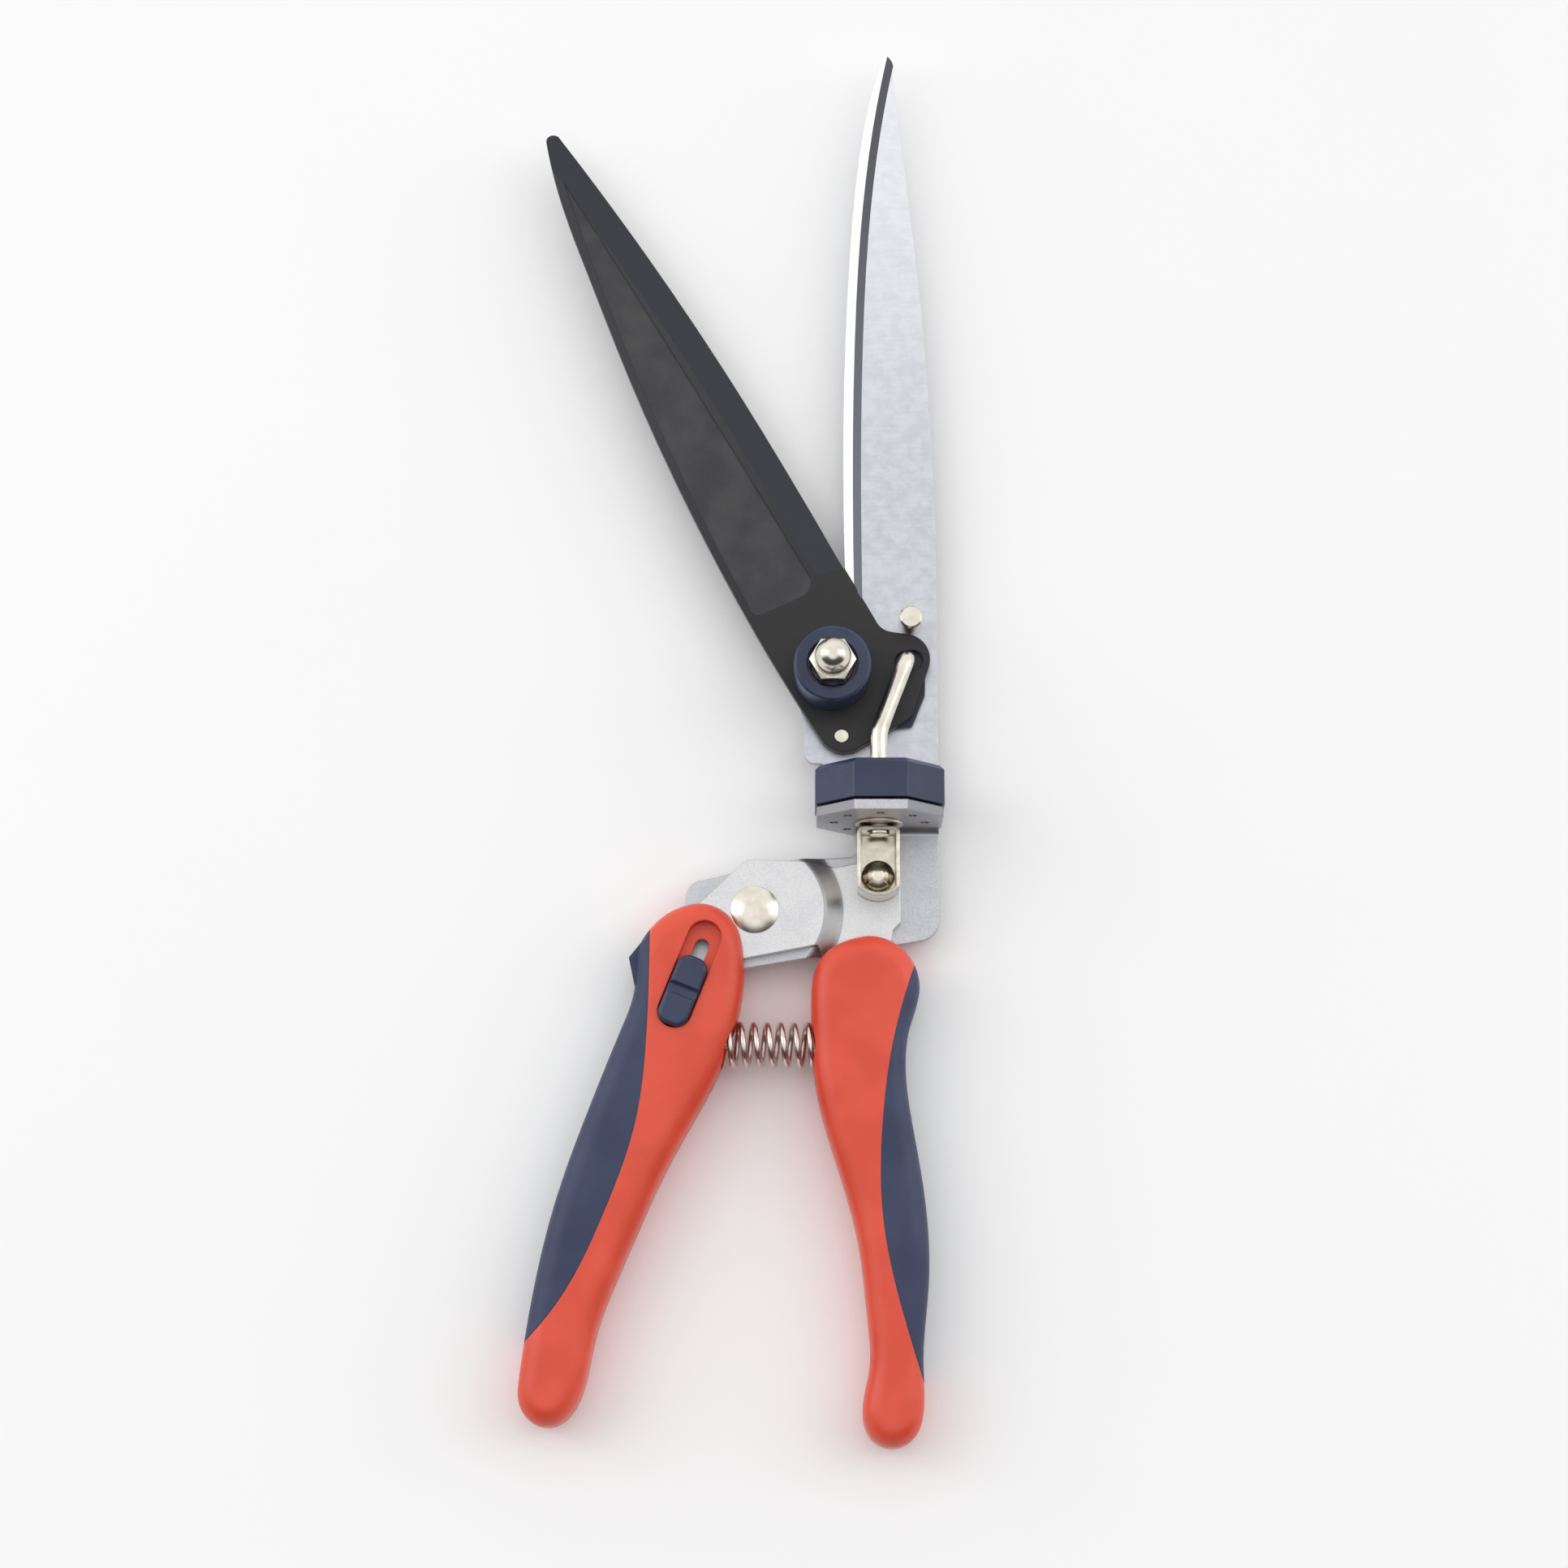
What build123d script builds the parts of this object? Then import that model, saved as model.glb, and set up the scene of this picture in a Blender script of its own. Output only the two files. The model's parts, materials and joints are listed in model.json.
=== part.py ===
from build123d import *
import os
from math import asin, atan2, cos, degrees, hypot, radians, sin, tan

# One-hand grass shears with a head that turns on the line of the handles.
# +X is to the right, +Y towards the blade tips, +Z up from the surface that the shears lie on.
# The origin is under the swivel axis, in the middle of the collar's lowest flat.
# The shears are modelled wide open, as the return spring holds them. All sizes are in mm.

os.makedirs("parts", exist_ok=True)

# ---------------------------------------------------------------- driving sizes
plate_thickness = 2.5        # frame plate and moving plate
blade_thickness = 2.6
stack_gap = 0.1              # free play between plates, and between blades
running_gap = 0.06           # radial clearance of everything that turns on a pin
mould_gap = 0.1              # clearance of a steel tang in its plastic handle
rod_radius = 2.1
handle_thickness = 17.0
handle_rounding = 5.0
thumb_stop = 10.0            # thickness of the left grip's corner
blade_swing = 32.0           # degrees that the upper blade turns to close
handle_swing = 20.0          # degrees that the right handle turns

# Swivel collar, an octagonal prism round the swivel axis
collar_across = 31.4
collar_height = 9.8
collar_wall = 2.3
collar_floor = 3.8
collar_edge = 1.2
index_across = 30.7          # octagonal index flange of the frame plate
index_gap = 0.6              # collar to index flange
index_radius = 11.0          # ring of detent holes
index_hole_radius = 1.1
index_angles = (0, 45, 90, 135, 180, 225)
ball_radius = 1.3
ball_gap = 0.05
detent_spring_wire = 0.15

# Eyelet that the head turns on, and the guide that it holds
eyelet_radius = 4.6
eyelet_rim_radius = 5.85
eyelet_top_rim_radius = 5.3
eyelet_rim = 0.7
guide_radius = 3.6

# Pivot of the blades
pivot_x, pivot_y = -11.4, 30.4
bolt_radius = 3.0
bush_radius = 4.5
cap_radius = 9.5
cap_height = 11.0
cap_recess_radius = 6.3
cap_recess_depth = 2.5
cap_spring_pocket = 5.6
nut_flats = 10.0
nut_hex_height = 5.4
nut_dome_radius = 4.4
nut_height = 12.4
bolt_head_radius = 6.0
bolt_head_height = 3.4
washer_thickness = 1.0
tension_wire = 1.2

# Stop pin, hook of the rod and small rivet of the glide pad
stop_x, stop_y = 8.1, 43.9
stop_radius = 2.9
stop_height = 7.0
stop_gap = 0.15              # blade to stop pin, wide open and closed
hook_open_angle = 10.0       # degrees from +X, seen from the pivot, with the blades open
hook_slot_play = 0.5
pad_rivet_x, pad_rivet_y = -9.1, 14.6
pad_rivet_radius = 1.7
pad_thickness = 0.8

# Main rivet of the handles and the yoke's rivet
rivet_x, rivet_y = -30.4, -29.0
rivet_radius = 3.0
rivet_head_radius = 5.8
rivet_head_height = 1.8
yoke_x, yoke_y = -0.3, -20.6
yoke_rivet_radius = 2.5
yoke_dome_radius = 4.1
yoke_dome_height = 2.9
yoke_width = 10.4
yoke_corner = 1.3
yoke_wall = 0.9
yoke_top = 9.3               # below the middle of the collar
yoke_height = 8.0
yoke_side = 3.6              # from its rivet to the end of its straight sides
yoke_nose = 5.9              # from its rivet to its rounded end
rod_neck_radius = 1.6
rod_head_radius = 2.5
rod_head_height = 0.8
rod_end_play = 0.12
neck_gap = 0.2

# The plates are pressed to a step round the main rivet, so that they pass over each other
step_inner = 17.0
step_outer = 21.5
step_reach = 150.0
step_rounding = 3.0
pivot_disc = 13.4            # rim of the moving plate round the main rivet

# Lock
lock_travel = 8.0
lock_angle = 68.3            # direction of its slide, from +X
lock_pin_radius = 1.35
lock_pin_at = 15.8           # from the main rivet to the pin, when locked
lock_pin_angle = 216.2       # seen from the main rivet
lock_button_length = 17.6
lock_button_width = 7.6
lock_button_height = 4.2
lock_recess_width = 8.4
lock_recess_depth = 2.6
lock_gap = 0.4
tooth_width = 1.8
tooth_height = 3.4
tooth_play = 0.25            # between the tooth and the pin that holds it, with the handles closed

# Return spring
spring_y = -61.7
spring_left, spring_right = -38.4, -14.9
spring_radius = 5.0
spring_wire = 0.7
spring_turns = 7
seat_radius = 6.1
seat_gap = 0.15

# ---------------------------------------------------------------- heights and places
swivel_z = collar_across / 2
handle_z = handle_thickness / 2
tang_z = handle_z - plate_thickness / 2          # both tangs lie on the handles' middle plane
raised_z = tang_z + plate_thickness + stack_gap  # moving plate, over the main rivet
lowered_z = tang_z - plate_thickness - stack_gap # frame plate, under the moving plate
lower_blade_z = 6.7
upper_blade_z = lower_blade_z + blade_thickness + stack_gap
blade_top = upper_blade_z + blade_thickness
cap_z = blade_top + stack_gap

collar_low = -collar_height / 2
collar_top = collar_height / 2
index_top = collar_low - index_gap
index_low = index_top - plate_thickness
flange_low = collar_low + collar_floor
flange_top = flange_low + blade_thickness

# The yoke's rivet swings about the main rivet and pulls the rod down by rod_travel.
yoke_arm = hypot(yoke_x - rivet_x, yoke_y - rivet_y)
yoke_angle = degrees(atan2(yoke_y - rivet_y, yoke_x - rivet_x))
rod_travel = yoke_arm * (sin(radians(yoke_angle)) + sin(radians(handle_swing - yoke_angle)))
# The hook stays on one line, so the blade's slot lets its distance from the pivot change.
hook_closed_angle = blade_swing - hook_open_angle
hook_reach = rod_travel / (tan(radians(hook_open_angle)) + tan(radians(hook_closed_angle)))
hook_x = pivot_x + hook_reach
hook_y = pivot_y + hook_reach * tan(radians(hook_open_angle))
hook_far = hook_reach / cos(radians(hook_closed_angle))

rivet_spot = (rivet_x, rivet_y)
pivot_spot = (pivot_x, pivot_y)
yoke_spot = (yoke_x, yoke_y)
pin_x = rivet_x + lock_pin_at * cos(radians(lock_pin_angle))
pin_y = rivet_y + lock_pin_at * sin(radians(lock_pin_angle))
lock_run = (cos(radians(lock_angle)), sin(radians(lock_angle)))
pin_rest = (pin_x - lock_travel * lock_run[0], pin_y - lock_travel * lock_run[1])
button_below_pin = 4.4
button_spot = (pin_rest[0] - button_below_pin * lock_run[0], pin_rest[1] - button_below_pin * lock_run[1])

def save(part, name):
    part.label = name
    export_step(part, f"parts/{name}.step")


def dome(radius, low, height):
    """The arc of a low dome, in a profile that is revolved about its own Y."""
    ball = (radius**2 + height**2) / (2 * height)
    half_turn = asin(radius / ball) / 2
    ThreePointArc((radius, low), (ball * sin(half_turn), low + height - ball + ball * cos(half_turn)),
                  (0, low + height))


def disc(spot, radius, low, height):
    """A round post on the plane at height low, added in the part being built."""
    with BuildSketch(Plane.XY.offset(low)) as profile:
        with Locations(spot):
            Circle(radius)
    extrude(profile.sketch, amount=height)


def bore(spot, radius, low, height):
    with BuildSketch(Plane.XY.offset(low)) as profile:
        with Locations(spot):
            Circle(radius)
    extrude(profile.sketch, amount=height, mode=Mode.SUBTRACT)


def across(y, x=0, z=None):
    """The plane across the swivel axis at y. Its X is +X, its Y is +Z, and it extrudes towards -Y."""
    return Plane(origin=(x, y, swivel_z if z is None else z), x_dir=(1, 0, 0), z_dir=(0, -1, 0))


def octagon(flats):
    RegularPolygon(radius=flats / 2, side_count=8, major_radius=False, rotation=22.5)


def axial_disc(radius, top, low, mode=Mode.ADD):
    """A round piece or hole on the swivel axis, from y = top down to y = low."""
    with BuildSketch(across(top)) as profile:
        Circle(radius)
    extrude(profile.sketch, amount=top - low, mode=mode)


# ---------------------------------------------------------------- outlines
left_outline = [
    (-44.0, -27.5), (-51.0, -29.6), (-56.6, -34.8), (-59.2, -40.5), (-59.4, -47.4), (-62.4, -57.7),
    (-70.5, -78.3), (-78.4, -101.4), (-83.2, -122.7), (-86.0, -141.5), (-85.9, -147.8),
    (-82.3, -152.4), (-76.9, -152.6), (-73.0, -149.0), (-68.6, -134.0), (-61.0, -113.1),
    (-49.9, -88.7), (-39.3, -69.1), (-34.2, -54.2), (-33.0, -41.5), (-36.6, -30.6),
]
left_grip_line = [
    (-56.0, -20.0), (-55.8, -36.5), (-56.2, -57.0), (-59.1, -82.6), (-66.1, -103.0), (-76.0, -123.0),
    (-92.0, -139.0),
]
right_outline = [
    (-4.0, -35.6), (2.6, -36.7), (7.6, -41.2), (9.6, -48.5), (7.4, -57.0), (6.1, -66.0), (8.4, -85.8),
    (10.9, -103.4), (11.2, -120.0), (9.8, -138.0), (9.8, -149.5), (7.6, -155.6), (2.4, -158.0),
    (-2.5, -155.9), (-4.6, -150.0), (-2.9, -139.0), (-3.3, -128.0), (-5.4, -110.0), (-10.6, -90.5),
    (-15.4, -73.0), (-16.7, -54.2), (-14.2, -40.8),
]
right_grip_line = [
    (11.5, -34.0), (8.2, -43.5), (3.4, -60.0), (0.3, -82.0), (0.2, -103.0), (4.4, -125.0), (15.0, -158.0),
]


def handle_blank(outline):
    """A handle's full shape: its outline through the handle's thickness, with well rounded edges."""
    with BuildPart() as blank:
        with BuildSketch():
            with BuildLine():
                Spline(*outline, periodic=True)
            make_face()
        extrude(amount=handle_thickness)
        fillet(blank.edges().filter_by(GeomType.LINE, reverse=True), handle_rounding)
    return blank.part


def grip_region(line, side):
    """Everything on the outer side of a grip's inner edge."""
    with BuildPart() as region:
        with BuildSketch(Plane.XY.offset(-1)):
            with BuildLine():
                Spline(*line)
                beyond = side * 150
                Polyline(line[-1], (beyond, line[-1][1]), (beyond, line[0][1]), line[0])
            make_face()
        extrude(amount=handle_thickness + 2)
    return region.part


def stepped_sheet(low):
    """A sheet round the main rivet, high inside step_inner and one level lower past step_outer."""
    drop = plate_thickness + stack_gap
    with BuildPart() as sheet:
        with BuildSketch(Plane(origin=(rivet_x, rivet_y, 0), x_dir=(1, 0, 0), z_dir=(0, -1, 0))):
            with BuildLine():
                Polyline(
                    (0, low + drop), (step_inner, low + drop), (step_outer, low), (step_reach, low),
                    (step_reach, low + plate_thickness), (step_outer, low + plate_thickness),
                    (step_inner, low + drop + plate_thickness), (0, low + drop + plate_thickness),
                    close=True,
                )
            made = make_face()
            fillet([v for v in made.vertices() if step_inner - 1 < v.X < step_outer + 1], step_rounding)
        revolve(axis=Axis((rivet_x, rivet_y, 0), (0, 0, 1)))
    return sheet.part


# ---------------------------------------------------------------- frame plate and left handle
neck_left, neck_right = -5.6, 14.8
bend_inner = 1.5
bend_outer = bend_inner + plate_thickness
neck_end = index_low - bend_inner
bend_top = lowered_z + bend_outer

with BuildSketch(Plane.XY.offset(tang_z)) as left_tang:
    with BuildLine():
        Polyline(
            (-47.3, -26.4), (-50.5, -36.5), (-55.5, -52.0), (-64.0, -78.0), (-70.5, -99.0),
            (-61.5, -101.5), (-54.0, -80.0), (-44.0, -60.0), (-39.5, -50.0), (-35.5, -43.4),
            (rivet_x, -42.6), (rivet_x, -17.9), (-40.5, -20.6), (-47.3, -22.0), close=True,
        )
    make_face()
    fillet(left_tang.vertices().sort_by_distance((-47.3, -22.0))[0], 4.2)

with BuildPart() as frame_plate:
    add(stepped_sheet(lowered_z))
    with BuildSketch() as neck_outline:
        with BuildLine():
            Polyline(
                (rivet_x, -17.9), (-18.0, -15.6), (neck_left, -14.8), (neck_left, neck_end),
                (neck_right, neck_end), (neck_right, -35.0), (rivet_x, -42.6), close=True,
            )
        make_face()
        fillet(neck_outline.vertices().sort_by_distance((neck_right, -35.0))[0], 5.5)
        fillet(neck_outline.vertices().sort_by_distance((neck_left, -14.8))[0], 1.6)
    extrude(amount=handle_thickness, mode=Mode.INTERSECT)
    add(extrude(left_tang.sketch, amount=plate_thickness, mode=Mode.PRIVATE))
    # The neck turns up into the index flange.
    with BuildSketch(Plane.YZ.offset(neck_left)) as bend:
        with BuildLine():
            Polyline(
                (neck_end - 1, lowered_z), (index_top, lowered_z), (index_top, bend_top + 1),
                (index_low, bend_top + 1), (index_low, lowered_z + plate_thickness),
                (neck_end - 1, lowered_z + plate_thickness), close=True,
            )
        make_face()
        fillet(bend.vertices().sort_by_distance((index_top, lowered_z))[0], bend_outer)
        fillet(bend.vertices().sort_by_distance((index_low, lowered_z + plate_thickness))[0], bend_inner)
    extrude(amount=neck_right - neck_left)
    with BuildSketch(across(index_top)):
        octagon(index_across)
        under_bend = bend_top - swivel_z
        with Locations((neck_left - 0.4, under_bend)):
            Rectangle(50, 50, align=(Align.MIN, Align.MAX), mode=Mode.SUBTRACT)
    extrude(amount=plate_thickness)
    axial_disc(eyelet_radius + running_gap, index_top, index_low, Mode.SUBTRACT)
    with BuildSketch(across(index_top)):
        for angle in index_angles:
            with PolarLocations(index_radius, 1, start_angle=angle):
                Circle(index_hole_radius)
    extrude(amount=plate_thickness, mode=Mode.SUBTRACT)
    bore(rivet_spot, rivet_radius, tang_z, plate_thickness)
save(frame_plate.part, "frame_plate")

left_blank = handle_blank(left_outline)
right_blank = handle_blank(right_outline)

seat_length = spring_right - spring_left + 2 * seat_gap


def spring_seats():
    """The round pockets of both handles that hold the ends of the return spring."""
    with BuildSketch(Plane(origin=(spring_left - seat_gap, spring_y, handle_z), z_dir=(1, 0, 0))) as seat:
        Circle(seat_radius)
    extrude(seat.sketch, amount=seat_length, mode=Mode.SUBTRACT)


with BuildPart() as left_handle:
    add(left_blank)
    add(grip_region(left_grip_line, -1), mode=Mode.SUBTRACT)
    # Pocket for the tang
    with BuildSketch(Plane.XY.offset(tang_z - mould_gap)):
        offset(left_tang.sketch, amount=mould_gap)
    extrude(amount=plate_thickness + 2 * mould_gap, mode=Mode.SUBTRACT)
    # Room for the moving plate's rim and its lock tooth to turn in
    rim_room = tang_z + plate_thickness
    rim_height = raised_z + plate_thickness + 0.3 - rim_room
    bore(rivet_spot, pivot_disc + 0.5, rim_room, rim_height)
    tooth_x = rivet_x + (pivot_disc - 1) * cos(radians(lock_pin_angle))
    tooth_y = rivet_y + (pivot_disc - 1) * sin(radians(lock_pin_angle))
    bore((tooth_x, tooth_y), 6.6, rim_room, rim_height)
    # Room for the rivet's washer and head
    bore(rivet_spot, rivet_head_radius + 1.4, -1, tang_z + 1)
    bore(rivet_spot, rivet_head_radius + 0.4, raised_z, handle_thickness)
    spring_seats()
    # Recess for the lock button, with a slot in its floor for the pin
    recess_length = lock_button_length + lock_travel + 2 * lock_gap + 1.2
    recess_shift = lock_travel / 2 + 0.6
    recess_spot = (button_spot[0] + recess_shift * lock_run[0], button_spot[1] + recess_shift * lock_run[1])
    with BuildSketch(Plane.XY.offset(handle_thickness - lock_recess_depth)):
        with Locations(recess_spot):
            SlotOverall(recess_length, lock_recess_width, rotation=lock_angle)
    extrude(amount=lock_recess_depth + 1, mode=Mode.SUBTRACT)
    slot_middle = ((pin_x + pin_rest[0]) / 2, (pin_y + pin_rest[1]) / 2)
    with BuildSketch(Plane.XY.offset(tang_z + plate_thickness)):
        with Locations(slot_middle):
            SlotCenterToCenter(lock_travel, 2 * (lock_pin_radius + lock_gap), rotation=lock_angle)
    extrude(amount=handle_thickness, mode=Mode.SUBTRACT)
save(left_handle.part, "left_handle")

with BuildPart() as left_grip:
    add(left_blank)
    add(grip_region(left_grip_line, -1), mode=Mode.INTERSECT)
    # Thumb stop at the top of the grip
    with BuildSketch(Plane.XY.offset(handle_z - thumb_stop / 2)):
        with BuildLine():
            Polyline((-56.6, -35.6), (-60.9, -41.0), (-59.5, -47.6), (-56.6, -47.0), close=True)
        make_face()
    extrude(amount=thumb_stop)
    fillet(left_grip.edges().filter_by(Axis.Z).group_by(Axis.X)[0], 0.7)
    with BuildSketch(Plane.XY.offset(tang_z - mould_gap)):
        offset(left_tang.sketch, amount=mould_gap)
    extrude(amount=plate_thickness + 2 * mould_gap, mode=Mode.SUBTRACT)
save(left_grip.part, "left_grip")

with BuildPart() as main_rivet:
    shank_low = tang_z - washer_thickness
    shank_top = raised_z + plate_thickness
    disc(rivet_spot, rivet_radius, shank_low, shank_top - shank_low)
    with BuildSketch(Plane(origin=(rivet_x, rivet_y, shank_top), x_dir=(1, 0, 0), z_dir=(0, -1, 0))):
        with BuildLine():
            Line((0, 0), (rivet_head_radius, 0))
            Line((rivet_head_radius, 0), (rivet_head_radius, 0.3))
            dome(rivet_head_radius, 0.3, rivet_head_height - 0.3)
            Line((0, rivet_head_height), (0, 0))
        make_face()
    revolve(axis=Axis((rivet_x, rivet_y, 0), (0, 0, 1)))
    disc(rivet_spot, rivet_head_radius - 0.8, shank_low - 1.6, 1.6)
    fillet(main_rivet.faces().sort_by(Axis.Z)[0].edges(), 1.0)
save(main_rivet.part, "main_rivet")

with BuildPart() as rivet_washer:
    disc(rivet_spot, rivet_head_radius + 0.6, tang_z - washer_thickness, washer_thickness)
    bore(rivet_spot, rivet_radius, tang_z - washer_thickness, washer_thickness)
save(rivet_washer.part, "rivet_washer")

with BuildPart() as return_spring:
    coil_length = spring_right - spring_left - 2 * spring_wire
    with BuildLine() as coil:
        Helix(
            pitch=coil_length / spring_turns, height=coil_length, radius=spring_radius,
            center=(spring_left + spring_wire, spring_y, handle_z), direction=(1, 0, 0),
        )
    with BuildSketch(Plane(origin=coil.line @ 0, z_dir=coil.line % 0)):
        Circle(spring_wire)
    sweep(path=coil.line, is_frenet=True)
save(return_spring.part, "return_spring")

# ---------------------------------------------------------------- lock
with BuildPart() as lock_button:
    button_low = handle_thickness - lock_recess_depth + 0.1
    with BuildSketch(Plane.XY.offset(button_low)):
        with Locations(button_spot):
            RectangleRounded(lock_button_length, lock_button_width, 2.9, rotation=lock_angle)
    extrude(amount=lock_button_height)
    fillet(lock_button.faces().sort_by(Axis.Z)[-1].edges(), 1.1)
    # Thumb groove across its middle
    groove_z = button_low + lock_button_height + 1.1
    with BuildSketch(Plane(origin=(*button_spot, groove_z), x_dir=(*lock_run, 0),
                           z_dir=(-lock_run[1], lock_run[0], 0))):
        Circle(1.9)
    extrude(amount=lock_button_width, both=True, mode=Mode.SUBTRACT)
    bore(pin_rest, lock_pin_radius, button_low, lock_button_height - 1.6)
save(lock_button.part, "lock_button")

with BuildPart() as lock_pin:
    pin_foot = tang_z + plate_thickness + stack_gap
    disc(pin_rest, lock_pin_radius, pin_foot, button_low + lock_button_height - 1.6 - pin_foot)
save(lock_pin.part, "lock_pin")

# ---------------------------------------------------------------- moving plate and right handle
with BuildSketch() as moving_outline:
    with BuildLine():
        ThreePointArc((-32.9, -41.0), (-40.6, -37.6), (-43.6, -27.2))
        Line((-43.6, -27.2), (-33.6, -17.6))
        ThreePointArc((-33.6, -17.6), (-32.3, -16.8), (-30.6, -16.5))
        Polyline(
            (-30.6, -16.5), (-16.2, -17.1), (-10.6, -18.0), (-5.2, -16.9), (5.2, -16.6), (5.2, -31.6),
            (3.3, -33.6), (2.7, -37.0), (3.0, -60.0), (-1.0, -80.0), (-1.5, -96.0), (-5.0, -96.0),
            (-11.0, -76.0), (-12.6, -52.0), (-13.0, -41.0), (-15.2, -37.6), (-32.9, -41.0),
        )
    make_face()

# With the handles closed, the tooth stands just past the locked pin.
tooth_closed = degrees((lock_pin_radius + tooth_width / 2 + tooth_play) / lock_pin_at)
tooth_angle = lock_pin_angle + handle_swing - tooth_closed
with BuildPart() as moving_plate:
    add(stepped_sheet(tang_z))
    with BuildSketch():
        add(moving_outline.sketch)
        with Locations(rivet_spot):
            with PolarLocations(pivot_disc - 1, 1, start_angle=tooth_angle):
                Rectangle(tooth_height + 1, tooth_width, align=(Align.MIN, Align.CENTER))
    extrude(amount=handle_thickness, mode=Mode.INTERSECT)
    bore(rivet_spot, rivet_radius + running_gap, 0, handle_thickness)
    bore(yoke_spot, yoke_rivet_radius, 0, handle_thickness)
    foot_radius = yoke_rivet_radius + 1.1
    with BuildSketch(Plane.XY.offset(tang_z)) as foot:
        with Locations(yoke_spot):
            Circle(foot_radius)
    extrude(amount=foot_radius - yoke_rivet_radius, taper=45, mode=Mode.SUBTRACT)
save(moving_plate.part, "moving_plate")

with BuildSketch(Plane.XY.offset(tang_z - mould_gap)) as right_tang:
    offset(moving_outline.sketch, amount=mould_gap)


def right_tang_pocket():
    """Pocket for the moving plate, and a slot above its bottom edge for the frame plate's edge."""
    add(extrude(right_tang.sketch, amount=plate_thickness + 2 * mould_gap, mode=Mode.PRIVATE),
        mode=Mode.SUBTRACT)
    with BuildSketch(Plane.XY.offset(lowered_z - 0.4)) as edge_slot:
        with BuildLine():
            Polyline((-34, -43.9), (20, -35.0), (20, -20), (-34, -20), close=True)
        make_face()
    extrude(edge_slot.sketch, amount=plate_thickness + 0.4 + stack_gap, mode=Mode.SUBTRACT)
    bore(rivet_spot, step_outer + 0.3, tang_z, plate_thickness + stack_gap + plate_thickness + 0.1)


with BuildPart() as right_handle:
    add(right_blank)
    add(grip_region(right_grip_line, 1), mode=Mode.SUBTRACT)
    right_tang_pocket()
    spring_seats()
save(right_handle.part, "right_handle")

with BuildPart() as right_grip:
    add(right_blank)
    add(grip_region(right_grip_line, 1), mode=Mode.INTERSECT)
    right_tang_pocket()
save(right_grip.part, "right_grip")

# ---------------------------------------------------------------- yoke
yoke_low = tang_z + plate_thickness + stack_gap
yoke_top_y = -yoke_top
yoke_nose_y = yoke_y - yoke_nose
with BuildSketch(Plane.XY.offset(yoke_low)) as yoke_outline:
    half = yoke_width / 2
    side_end_y = yoke_y - yoke_side
    with BuildLine():
        Polyline((yoke_x - half, side_end_y), (yoke_x - half, yoke_top_y), (yoke_x + half, yoke_top_y),
                 (yoke_x + half, side_end_y))
        ThreePointArc((yoke_x + half, side_end_y), (yoke_x, yoke_nose_y), (yoke_x - half, side_end_y))
    make_face()
    fillet(yoke_outline.vertices(), yoke_corner)
with BuildPart() as yoke:
    add(extrude(yoke_outline.sketch, amount=yoke_height, mode=Mode.PRIVATE))
    with BuildSketch(Plane.XY.offset(yoke_low + yoke_wall)):
        offset(yoke_outline.sketch, amount=-yoke_wall)
    extrude(amount=yoke_height, mode=Mode.SUBTRACT)
    bore(yoke_spot, yoke_rivet_radius + running_gap, yoke_low, yoke_wall)
    # The yoke swings to the right round a rod that stays on the swivel axis, so its slot reaches left.
    rivet_sweep = yoke_arm * (1 - cos(radians(yoke_angle)))
    with BuildSketch(across(yoke_top_y, x=-rivet_sweep / 2)):
        SlotCenterToCenter(rivet_sweep, 2 * (rod_neck_radius + neck_gap))
    extrude(amount=yoke_wall, mode=Mode.SUBTRACT)
    fillet(yoke.faces().sort_by(Axis.Z)[0].edges(), 0.8)
save(yoke.part, "yoke")

with BuildPart() as yoke_rivet:
    with BuildSketch(Plane(origin=(yoke_x, yoke_y, tang_z), x_dir=(1, 0, 0), z_dir=(0, -1, 0))):
        with BuildLine():
            foot_height = foot_radius - yoke_rivet_radius
            dome_low = yoke_low + yoke_wall + 0.05 - tang_z
            Polyline((0, dome_low + 0.3 + yoke_dome_height), (0, 0), (foot_radius, 0),
                     (yoke_rivet_radius, foot_height), (yoke_rivet_radius, dome_low),
                     (yoke_dome_radius, dome_low), (yoke_dome_radius, dome_low + 0.3))
            dome(yoke_dome_radius, dome_low + 0.3, yoke_dome_height)
        make_face()
    revolve(axis=Axis((yoke_x, yoke_y, 0), (0, 0, 1)))
save(yoke_rivet.part, "yoke_rivet")

# ---------------------------------------------------------------- pull rod
rod_low = yoke_top_y - yoke_wall - rod_end_play - rod_head_height
neck_top = yoke_top_y + rod_end_play
rod_bend_y = 14.8
pin_low = upper_blade_z + pad_thickness + 0.15

with BuildPart() as pull_rod:
    with BuildLine() as route:
        FilletPolyline((0, neck_top, swivel_z), (0, rod_bend_y, swivel_z), (hook_x, hook_y, swivel_z),
                       (hook_x, hook_y, pin_low), radius=[10, rod_radius + 0.5])
    with BuildSketch(Plane(origin=(0, neck_top, swivel_z), z_dir=(0, 1, 0))):
        Circle(rod_radius)
    sweep(path=route.line)
    axial_disc(rod_neck_radius, neck_top, rod_low)
    axial_disc(rod_head_radius, rod_low + rod_head_height, rod_low)
    fillet(pull_rod.faces().sort_by(Axis.Y)[0].edges(), 0.3)
save(pull_rod.part, "pull_rod")

# ---------------------------------------------------------------- swivel
cavity_across = collar_across - 2 * collar_wall
ball_y = index_top + ball_gap + ball_radius
detent_angles = (0, 180)


def at_detents(radius, top, low, mode=Mode.ADD):
    with BuildSketch(across(top)) as holes:
        for angle in detent_angles:
            with PolarLocations(index_radius, 1, start_angle=angle):
                Circle(radius)
    extrude(holes.sketch, amount=top - low, mode=mode)


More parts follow.
